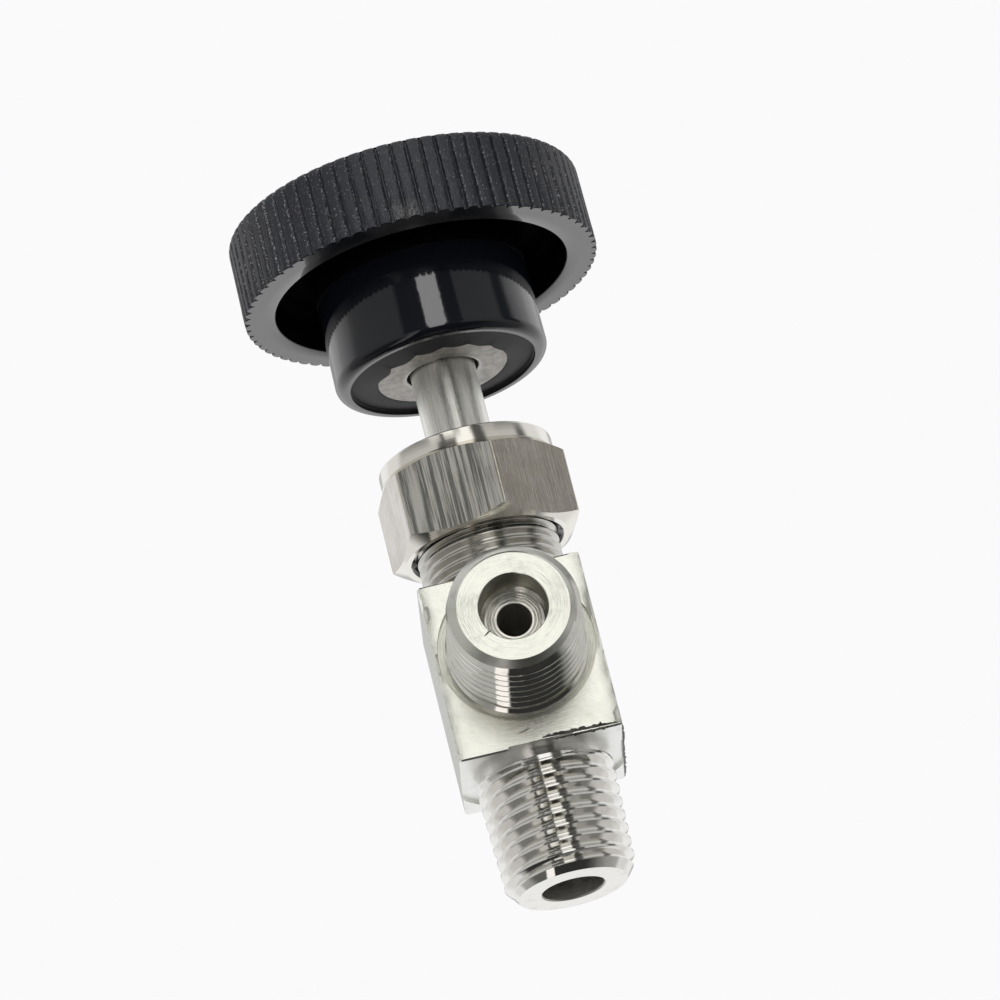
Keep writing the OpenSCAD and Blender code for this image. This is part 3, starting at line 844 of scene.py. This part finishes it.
def turned_steel(name, axis, colour, rough, marks, stain=0.1):
    """Lathe-turned stainless steel: fine rings about the axis, faint stains and a few scratches."""
    g, point = new_material(name)
    radius, angle, along = polar(g, point, axis)
    rings = g.noise(g.vector(radius, along, g.mul(angle, 0.05)), 9.0, 4.0, 0.65)
    fine = g.noise(g.vector(radius, along, g.mul(angle, 0.02)), 38.0, 2.0, 0.6)
    cloud = g.noise(point, 0.55, 4.0, 0.6)
    scored = g.noise(g.vector(g.mul(radius, 2.0), g.mul(along, 2.0), g.mul(angle, 30.0)), 1.2, 2.0)
    scratch = g.step(scored, 0.66, 0.72)
    dark = tuple(c * (1 - 1.6 * stain) for c in colour)
    base = g.mix(g.mul(g.step(cloud, 0.5, 0.75), 0.9), colour, dark)
    base = g.mix(g.mul(scratch, 0.25), base, tuple(min(1, c * 1.12) for c in colour))
    uneven = g.add(g.mul(g.math("SUBTRACT", rings, 0.5), 0.16), g.mul(g.math("SUBTRACT", cloud, 0.5), 0.1))
    roughness = g.add(rough, g.mul(uneven, min(1.0, marks)))
    bump = g.bump(rings, 0.02 * marks)
    bump = g.bump(fine, 0.006 * marks, after=bump)
    return finish_material(
        g, Base_Color=base, Metallic=1.0, Roughness=roughness, Normal=bump, Anisotropic=0.3,
    )


def bar_steel(name):
    """Milled bar faces: near-white satin with cloudy stains, a faint lay and darker rough edges."""
    g, point = new_material(name)
    x, y, z = g.split(point)
    lay = g.noise(g.vector(g.mul(x, 0.35), g.mul(y, 0.35), g.mul(z, 6.0)), 3.0, 4.0, 0.6)
    cloud = g.noise(point, 0.35, 5.0, 0.62)
    spots = g.step(g.noise(point, 1.1, 3.0, 0.5), 0.6, 0.78)
    edge = g.math("MINIMUM", g.math("ABSOLUTE", x), g.math("ABSOLUTE", y))
    ragged = g.add(edge, g.mul(g.noise(point, 3.0, 4.0, 0.7), 0.5))
    worn = g.step(ragged, BLOCK_HALF + 0.05, BLOCK_HALF + 0.2)
    base = g.mix(g.mul(g.step(cloud, 0.48, 0.75), 0.55), (0.91, 0.91, 0.83), (0.80, 0.80, 0.71))
    base = g.mix(g.mul(spots, 0.3), base, (0.68, 0.68, 0.53))
    base = g.mix(g.mul(worn, 0.45), base, (0.16, 0.16, 0.15))
    roughness = g.add(0.12, g.mul(cloud, 0.14), g.mul(worn, 0.3))
    bump = g.bump(lay, 0.012)
    bump = g.bump(g.noise(point, 14.0, 3.0), 0.006, after=bump)
    return finish_material(g, Base_Color=base, Metallic=1.0, Roughness=roughness, Normal=bump)


def nut_steel(name):
    """Drawn hexagon bar: lengthwise striations that are coarse on some flats, a polished collar, and a
    painted shadow in the bore's mouth.
    """
    g, point = new_material(name)
    radius, angle, z = polar(g, point, "z")
    round_it = g.mul(angle, NUT_AF / 2)
    coarse = g.noise(g.vector(round_it, g.mul(z, 0.018), 0.0), 3.6, 5.0, 0.75)
    fine = g.noise(g.vector(round_it, g.mul(z, 0.02), 4.0), 9.0, 3.0, 0.6)
    turned = g.noise(g.vector(radius, z, 0.0), 8.0, 3.0, 0.6)
    left_flat, right_flat = (
        g.band(angle, NUT_TURN + side * math.pi / 6, math.pi / 6 - 0.01, 0.01) for side in (-1, 1)
    )
    rough_flat = g.add(0.16, g.mul(left_flat, 0.84))
    upright = g.step(g.math("ABSOLUTE", g.split(g.normal())[2]), 0.35, 0.2)
    sides = g.mul(g.step(z, COLLAR_Z - 0.02, COLLAR_Z - 0.06), upright)
    cloud = g.noise(point, 0.3, 3.0)
    warm = g.mix(g.step(cloud, 0.35, 0.7), (0.70, 0.67, 0.62), (0.58, 0.54, 0.47))
    warm = g.mix(g.mul(right_flat, 0.6), warm, (0.42, 0.38, 0.32))
    warm = g.mix(g.mul(left_flat, 0.7), warm, (0.58, 0.58, 0.54))
    lines = g.step(coarse, 0.42, 0.58)
    streaked = g.mix(g.mul(rough_flat, g.mul(lines, 0.9)), warm, (0.14, 0.14, 0.13))
    # painted shadow: the bore's mouth at the nut's lower end is painted near-black, standing in for the
    # shade in the gap round the neck
    mouth_shadow = g.mul(g.step(radius, 7.62, 7.56), g.step(z, NUT_Z + 2, NUT_Z + 1))
    base = g.mix(sides, (0.78, 0.76, 0.70), streaked)
    base = g.mix(mouth_shadow, base, (0.04, 0.04, 0.038))
    drawn = g.mul(rough_flat, coarse)
    roughness = g.lerp(sides, g.add(0.06, g.mul(turned, 0.08)), g.add(0.16, g.mul(drawn, 0.35)))
    height = g.mul(sides, g.add(drawn, g.mul(fine, 0.15)))
    bump = g.bump(height, 0.09)
    bump = g.bump(g.mul(g.math("SUBTRACT", 1.0, sides), turned), 0.005, after=bump)
    return finish_material(g, Base_Color=base, Metallic=1.0, Roughness=roughness, Normal=bump)


def stem_steel(name):
    """Ground and polished bar: sharp across, blurred along its length, with fine lengthwise streaks."""
    g, point = new_material(name)
    _, angle, along = polar(g, point, "z")
    streak = g.noise(g.vector(g.mul(angle, STEM_R), g.mul(along, 0.03), 0.0), 7.0, 5.0, 0.7)
    grain = g.noise(g.vector(g.mul(angle, STEM_R), g.mul(along, 0.3), 3.0), 24.0, 3.0, 0.6)
    cloud = g.noise(point, 0.5, 3.0)
    base = g.mix(g.step(streak, 0.4, 0.7), (0.84, 0.83, 0.78), (0.62, 0.62, 0.58))
    roughness = g.add(0.2, g.mul(streak, 0.08), g.mul(cloud, 0.04))
    bump = g.bump(streak, 0.014)
    bump = g.bump(grain, 0.003, after=bump)
    return finish_material(
        g, Base_Color=base, Metallic=1.0, Roughness=roughness, Normal=bump,
        Anisotropic=1.0, Tangent=g.vector(0.0, 0.0, 1.0),
    )


def phenolic(name):
    """Black phenolic: glossy hub, a slot painted near-black as painted shade, duller ribs with pale specks
    that gather beside the grooves as painted edge highlight, and a sanded hub face.
    """
    g, point = new_material(name)
    radius, angle, z = polar(g, point, "z")
    peel = g.noise(point, 1.6, 3.0, 0.5)
    grit = g.noise(point, 11.0, 4.0, 0.7)
    phase = g.math("FRACT", g.mul(angle, RIB_COUNT / TAU))
    # pale specks are chips, made denser beside each groove as a painted highlight along the rib edges
    rib_edge = g.add(g.band(phase, 0.72, 0.03, 0.06), g.step(phase, 0.95, 1.0), g.step(phase, 0.1, 0.0))
    flecks_and_edge_glint = g.mul(g.noise(point, 6.5, 2.0, 0.6), g.add(1.0, g.mul(rib_edge, 0.16)))
    speck = g.step(flecks_and_edge_glint, 0.64, 0.70)
    blemish = g.mul(g.band(angle, -1.6, 0.05, 0.05), g.step(z, RIM_Z + 2.2, RIM_Z + 0.8))
    down = g.mul(g.split(g.normal())[2], -1.0)
    ribbed = g.mul(g.step(radius, WHEEL_R - 0.75, WHEEL_R - 0.55), g.step(down, 0.7, 0.4))
    sanded = g.mul(g.step(z, HUB_Z + 0.5, HUB_Z + 0.46), g.step(radius, 9.34, 9.28))
    # painted shade: the slot under the rim gets a near-black colour and almost no reflection, standing in
    # for the shade in that recess
    slot = g.mul(g.step(z, RIM_Z - 0.4, RIM_Z + 0.2), g.step(radius, 14.9, 14.7))
    base = g.mix(g.mul(ribbed, g.mul(grit, 0.6)), (0.005, 0.006, 0.009), (0.018, 0.020, 0.027))
    # pale specks: chips, and a painted highlight along the rib edges
    base = g.mix(g.mul(ribbed, speck), base, (0.17, 0.17, 0.18))
    base = g.mix(g.mul(ribbed, g.mul(blemish, g.step(grit, 0.5, 0.6))), base, (0.26, 0.26, 0.26))
    base = g.mix(sanded, base, g.mix(grit, (0.016, 0.016, 0.018), (0.030, 0.030, 0.034)))
    # painted shade in the slot
    base = g.mix(slot, base, (0.002, 0.002, 0.003))
    roughness = g.lerp(ribbed, g.add(0.04, g.mul(peel, 0.05)), g.add(0.34, g.mul(grit, 0.2)))
    roughness = g.lerp(sanded, roughness, g.add(0.42, g.mul(grit, 0.12)))
    roughness = g.lerp(slot, roughness, 0.6)
    under_front = g.mul(g.step(down, 0.9, 0.97), g.band(angle, -1.6, 0.2, 0.12))
    roughness = g.lerp(g.mul(under_front, g.step(radius, 14.8, 15.0)), roughness, 0.4)
    facing = g.node("ShaderNodeLayerWeight", {"Blend": 0.5}).outputs["Facing"]
    shine = g.lerp(g.step(facing, 0.3, 0.65), 1.43, 2.0)
    shine = g.lerp(ribbed, shine, 1.38)
    shine = g.lerp(sanded, shine, 1.3)
    shine = g.lerp(slot, shine, 1.06)
    bump = g.bump(peel, 0.004)
    gritty = g.add(ribbed, g.mul(sanded, 0.25), g.mul(g.mul(ribbed, blemish), 2.0))
    bump = g.bump(g.mul(grit, gritty), 0.045, after=bump)
    return finish_material(g, Base_Color=base, Roughness=roughness, Normal=bump, IOR=shine)


def bush_metal(name):
    """The insert: warm grey metal, matte, with blotches and light tool marks."""
    g, point = new_material(name)
    radius = polar(g, point, "z")[0]
    blotch = g.noise(point, 1.3, 5.0, 0.65)
    grain = g.noise(point, 16.0, 3.0, 0.6)
    inside = g.step(radius, 4.05, 3.8)
    base = g.mix(g.step(blotch, 0.35, 0.7), (0.50, 0.48, 0.45), (0.36, 0.345, 0.32))
    base = g.mix(inside, base, (0.42, 0.41, 0.39))
    roughness = g.add(0.42, g.mul(blotch, 0.18), g.mul(inside, -0.22))
    bump = g.bump(blotch, 0.04)
    bump = g.bump(grain, 0.015, after=bump)
    return finish_material(g, Base_Color=base, Metallic=0.85, Roughness=roughness, Normal=bump)


def ptfe(name):
    """Waxy white PTFE with faint turning rings."""
    g, point = new_material(name)
    radius, _, along = polar(g, point, "z")
    rings = g.noise(g.vector(radius, along, 0.0), 7.0, 3.0)
    cloud = g.noise(point, 0.8, 3.0)
    base = g.mix(cloud, (0.90, 0.89, 0.85), (0.82, 0.81, 0.77))
    return finish_material(
        g, Base_Color=base, Roughness=g.add(0.38, g.mul(rings, 0.15)), Normal=g.bump(rings, 0.02),
        Subsurface_Weight=0.1, Subsurface_Radius=(0.002, 0.002, 0.002),
    )


def paint(piece, *materials):
    piece.data.materials.clear()
    for material in materials:
        piece.data.materials.append(material)


def body_finish(x, y, z, normal):
    """The name of the finish at one place on the body."""
    spindle_r, outlet_r = math.hypot(x, y), math.hypot(x, z - OUTLET_Z)
    if spindle_r < 5.2 and abs(y) < BLOCK_HALF - 0.8 and z > 0.05:
        if normal.x * x + normal.y * y < -0.1 * spindle_r or z > BLOCK_Z:
            return "bored"
    if outlet_r < RELIEF_FRONT_R + 0.02 and y < -BLOCK_HALF + 0.55:
        if outlet_r < SOCKET_R + 0.1:
            inside = "passage" if outlet_r < 1.7 else "counterbore"
            return "counterbore_floor" if normal.y < -0.5 else inside
        if y < OUTLET_TIP + 1.0 and normal.y < -0.6:
            return "faced" if normal.y < -0.95 else "chamfer"
        relief = outlet_r > PORT_BASE_R + 0.05 and y > -BLOCK_HALF - 0.6
        return "relief_y" if relief else "turned_y"
    if outlet_r < 1.7 and y < 0:
        return "passage"
    if abs(x) > BLOCK_HALF - 0.01 or abs(y) > BLOCK_HALF - 0.01:
        return "bar"
    if z > BLOCK_TOP + 0.02:
        return "neck"
    if z > BLOCK_Z + 0.36:
        return "bar"
    return "relief_z" if z > BLOCK_Z - 0.1 and spindle_r > 6.0 else "turned_z"


def paint_body(body, finishes):
    """Gives the body's faces to their finishes."""
    paint(body, *finishes.values())
    order = list(finishes)
    for face in body.data.polygons:
        x, y, z = (c / MM for c in face.center)
        face.material_index = order.index(body_finish(x, y, z, face.normal))


# ---------------------------------------------------------------- the pieces on their bodies


def show(piece, body, node=None):
    """Puts a piece on its body; node is the CAD node that it stands in for."""
    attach(piece, body)
    if node:
        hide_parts(node)


def build_object():
    """Every visible piece, painted, on its body. Plain hidden nodes are kept as packed and painted."""
    bar = bar_steel("bar_steel")
    finishes = {
        "bar": bar,
        "turned_z": turned_steel("turned_steel_z", "z", (0.77, 0.76, 0.725), 0.04, 0.12),
        "turned_y": turned_steel("turned_steel_y", "y", (0.78, 0.77, 0.72), 0.03, 0.08),
        "bored": turned_steel("bored_steel", "z", (0.62, 0.60, 0.56), 0.42, 1.4, 0.3),
        "chamfer": turned_steel("chamfer_steel", "y", (0.62, 0.62, 0.57), 0.3, 1.0),
        "faced": turned_steel("faced_steel", "y", (0.88, 0.885, 0.80), 0.2, 0.7),
        # the counterbore's wall is painted dark: painted shade inside the recess
        "counterbore": turned_steel("counterbored_steel", "y", (0.42, 0.41, 0.35), 0.24, 1.0, 0.2),
        "counterbore_floor": turned_steel("counterbore_floor_steel", "y", (0.74, 0.73, 0.67), 0.16, 0.7),
        # the side passage is painted lighter than the other turned steel: painted light inside the hole
        "passage": turned_steel("passage_steel", "y", (0.84, 0.82, 0.78), 0.5, 1.5),
        # the relief ring round the outlet's foot is painted mid grey: painted shade in the recess round the
        # port
        "relief_y": turned_steel("front_relief_steel", "y", (0.70, 0.70, 0.62), 0.26, 0.9),
        "relief_z": turned_steel("bottom_relief_steel", "z", (0.86, 0.86, 0.83), 0.3, 0.9, 0.05),
        # the neck above the bar is painted darker: painted shade under the gland nut
        "neck": turned_steel("neck_steel", "z", (0.55, 0.54, 0.50), 0.09, 0.5),
    }
    gland = turned_steel("gland_steel", "z", (0.72, 0.72, 0.70), 0.18, 1.0)
    burnished = turned_steel("burnished_steel", "z", (0.66, 0.66, 0.63), 0.14, 0.8)
    fastener = turned_steel("fastener_steel", "z", (0.72, 0.72, 0.70), 0.22, 1.2)
    spring = turned_steel("spring_steel", "z", (0.40, 0.40, 0.39), 0.3, 1.2, 0.2)
    ball = turned_steel("ball_steel", "z", (0.85, 0.85, 0.87), 0.04, 0.1)
    nut, stem = nut_steel("nut_steel"), stem_steel("stem_steel")
    black, bush, white = phenolic("black_phenolic"), bush_metal("bush_metal"), ptfe("white_ptfe")

    body = make_body()
    paint_body(body, finishes)
    show(body, "valve", "body")
    burr = turned_steel("burr_steel", "z", (0.14, 0.14, 0.13), 0.4, 1.5, 0.3)
    burrs, chips = make_burrs()
    for piece in burrs + chips:
        paint(piece, burr if piece in burrs else bar)
        show(piece, "valve")

    made = (
        (make_gland_nut, nut, "valve", "nut_steel", "gland_nut"),
        (make_needle, burnished, "needle_unit", "needle_steel", "needle"),
        (make_spindle, stem, "wheel_unit", "spindle_steel", "spindle"),
        (make_handwheel, black, "wheel_unit", "phenolic", "handwheel"),
        (make_insert, bush, "wheel_unit", "insert_metal", "wheel_insert"),
        (make_washer, fastener, "wheel_unit", "fastener_steel", "wheel_washer"),
        (make_lock_washer, spring, "wheel_unit", "spring_steel", "lock_washer"),
        (make_wheel_nut, fastener, "wheel_unit", "fastener_steel", "wheel_nut"),
    )
    for make, material, body_name, slot, node in made:
        piece = make()
        paint(piece, material)
        show(piece, body_name, node)

    kept = {"gland_follower": gland, "packing_washer": gland, "thrust_ball": ball, "swivel_pins": fastener}
    for node in frame["nodes"]:
        if node.startswith("packing_") and node not in kept:
            kept[node] = white
    for node, material in kept.items():
        paint(frame["nodes"][node], material)


# ---------------------------------------------------------------- studio


CAMERA_AZ, CAMERA_EL, CAMERA_ROLL = -3.31, -20.98, -14.275
CAMERA_LENS, CAMERA_DISTANCE = 252.0, 681.57
CAMERA_TARGET = (2.346, 0.0, 40.36)
LAMP_LEVEL = CARD_LEVEL = 1.2


def direction(azimuth, elevation):
    """Unit vector towards a place in the room. Azimuth 0 is -Y and 90 is +X, in degrees."""
    a, e = math.radians(azimuth), math.radians(elevation)
    return Vector((math.sin(a) * math.cos(e), -math.cos(a) * math.cos(e), math.sin(e)))


def make_camera():
    data = bpy.data.cameras.new("camera")
    data.lens = CAMERA_LENS
    data.sensor_width = 36
    camera = bpy.data.objects.new("camera", data)
    back = direction(CAMERA_AZ, CAMERA_EL)
    right = (-back).cross(Vector((0, 0, 1))).normalized()
    up = right.cross(-back)
    roll = math.radians(CAMERA_ROLL)
    turned_right = right * math.cos(roll) + up * math.sin(roll)
    turned_up = up * math.cos(roll) - right * math.sin(roll)
    place = (Vector(CAMERA_TARGET) + back * CAMERA_DISTANCE) * MM
    columns = (turned_right, turned_up, back, place)
    camera.matrix_world = Matrix([[c[i] for c in columns] for i in range(3)] + [[0, 0, 0, 1]])
    bpy.context.scene.collection.objects.link(camera)
    bpy.context.scene.camera = camera


def make_floor():
    """A pale floor that only the camera sees, and only from above."""
    half, low = 900, -0.02
    corners = [(x * half, y * half, low) for x, y in ((-1, -1), (1, -1), (1, 1), (-1, 1))]
    made = make_object("floor", corners, [(0, 1, 2, 3)])
    g, point = new_material("floor_paper")
    paper = g.noise(point, 0.05, 2.0)
    colour = g.mix(paper, (0.80, 0.80, 0.81), (0.78, 0.78, 0.79))
    diffuse = g.node("ShaderNodeBsdfDiffuse", {"Color": colour})
    clear = g.node("ShaderNodeBsdfTransparent")
    back = g.node("ShaderNodeNewGeometry").outputs["Backfacing"]
    mixed = g.node("ShaderNodeMixShader", {0: back, 1: diffuse.outputs[0], 2: clear.outputs[0]})
    g.node("ShaderNodeOutputMaterial", {"Surface": mixed.outputs[0]})
    paint(made, g.material)
    for ray in ("diffuse", "glossy", "transmission", "shadow"):
        setattr(made, "visible_" + ray, False)


def make_world():
    """A white tent behind the valve and a dim room in front, with one tall lamp, a card and dark gaps.

    Azimuth 0 is -Y and 90 is +X, both angles in degrees. Each lerp lays one more thing over the room."""
    world = bpy.data.worlds.new("studio")
    world.use_nodes = True
    bpy.context.scene.world = world
    g = Graph(world.node_tree)
    way = g.node("ShaderNodeTexCoord").outputs["Generated"]
    x, y, z = g.split(way)
    azimuth = g.mul(g.math("ARCTAN2", x, g.mul(y, -1.0)), 360 / TAU)
    elevation = g.mul(g.math("ARCSINE", z), 360 / TAU)
    toward = g.dot(way, direction(CAMERA_AZ, CAMERA_EL))
    off_axis = g.math("ABSOLUTE", x)
    front = g.step(y, 0.0, -0.15)
    upper = g.step(elevation, -10, 2)
    high = g.step(elevation, 24, 33)

    # the dim room in front, with dark gaps above the horizon and below it
    level = g.lerp(g.step(elevation, 0, -80), 0.6, 0.15)
    for place, half, soft, dim in ((-20, 10, 6, 0.11), (23, 6, 4, 0.1), (88, 8, 7, 0.15)):
        level = g.lerp(g.mul(upper, g.band(azimuth, place, half, soft)), level, dim)
    lean = g.math("SUBTRACT", x, g.mul(g.add(z, 0.407), 0.195))
    level = g.lerp(g.mul(g.band(azimuth, 5, 20, 7), g.step(elevation, -3, -9)), level, 0.08)
    level = g.lerp(g.mul(g.band(azimuth, -66, 20, 18), g.step(elevation, -8, -38)), level, 0.13)
    hollow = g.mul(g.step(elevation, -18, -30), g.mul(g.step(azimuth, 98, 42), g.step(lean, -0.36, -0.34)))
    level = g.lerp(hollow, level, 0.035)

    # high up: grey sides, brighter strips and thin dark lines
    for near, far, dim in ((0.4, 0.43, 0.45), (0.58, 0.68, 0.28)):
        level = g.lerp(g.mul(high, g.step(off_axis, near, far)), level, dim)
    strips = ((-0.5, 0.08, 0.03, 0.78), (-0.06, 0.15, 0.02, 0.58))
    lines = ((-0.38, 0.02, 0.012, 0.1), (0.215, 0.02, 0.012, 0.1))
    for place, half, soft, shade in strips + lines:
        level = g.lerp(g.mul(high, g.band(x, place, half, soft)), level, shade)

    # the tall lamp, which splits in two high up, and the card low on the left
    low_lamp = g.mul(g.band(x, 0.055, 0.165, 0.02), g.math("SUBTRACT", 1.0, high))
    high_lamp = g.mul(high, g.add(g.band(x, 0.095, 0.095, 0.01), g.band(x, -0.24, 0.095, 0.01)))
    lamp = g.mul(g.add(low_lamp, high_lamp), g.mul(upper, front))
    level = g.lerp(lamp, level, LAMP_LEVEL)
    card = g.mul(g.band(lean, -0.362, 0.085, 0.008), g.mul(g.band(z, -0.55, 0.33, 0.04), front))
    level = g.lerp(card, level, CARD_LEVEL)

    # the tent behind, with a grey spot straight behind the valve
    tent = g.step(toward, -0.13, -0.29)
    level = g.lerp(tent, level, g.add(0.86, g.mul(g.step(toward, -0.55, -0.7), 0.16)))
    level = g.lerp(g.step(toward, -0.86, -0.95), level, 0.55)
    tint = g.mix(tent, (1.0, 0.995, 0.975), (0.99, 0.99, 1.0))
    tint = g.mix(card, tint, (1.0, 0.955, 0.945))
    strength = g.node("ShaderNodeVectorMath", {0: tint, "Scale": level}, operation="SCALE").outputs[0]
    room = g.node("ShaderNodeBackground", {"Color": strength, "Strength": 1.0})
    plain = g.node("ShaderNodeBackground", {"Color": (0.96, 0.953, 0.965), "Strength": 1.0})
    seen = g.node("ShaderNodeLightPath").outputs["Is Camera Ray"]
    mixed = g.node("ShaderNodeMixShader", {0: seen, 1: room.outputs[0], 2: plain.outputs[0]})
    g.node("ShaderNodeOutputWorld", {"Surface": mixed.outputs[0]})


def soft_light(name, place, width, height, energy):
    """A rectangular light that shines on the valve from a place in the room."""
    data = bpy.data.lights.new(name, "AREA")
    data.shape = "RECTANGLE"
    data.size, data.size_y = width, height
    data.energy = energy
    light = bpy.data.objects.new(name, data)
    light.location = place
    light.rotation_mode = "QUATERNION"
    light.rotation_quaternion = place.to_track_quat("Z", "Y")
    light.visible_camera = False
    bpy.context.scene.collection.objects.link(light)
    return light


def make_wheel_lamp():
    """The tall lamp once more at full strength, for the black wheel only: steel would burn out in it."""
    lamp = soft_light("wheel_lamp", direction(3.2, 22), 0.33, 1.5, 7.5)
    lit = bpy.data.collections.new("lit_by_wheel_lamp")
    lit.objects.link(bpy.data.objects["handwheel_moulding"])
    lamp.light_linking.receiver_collection = lit


def make_key_light():
    """One large soft light above and in front, for gentle shading."""
    soft_light("key", direction(-25, 50) * 0.7, 0.5, 0.5, 1.2).visible_glossy = False


build_object()
make_camera()
make_floor()
make_world()
make_key_light()
make_wheel_lamp()
bpy.context.scene.view_settings.view_transform = "Standard"
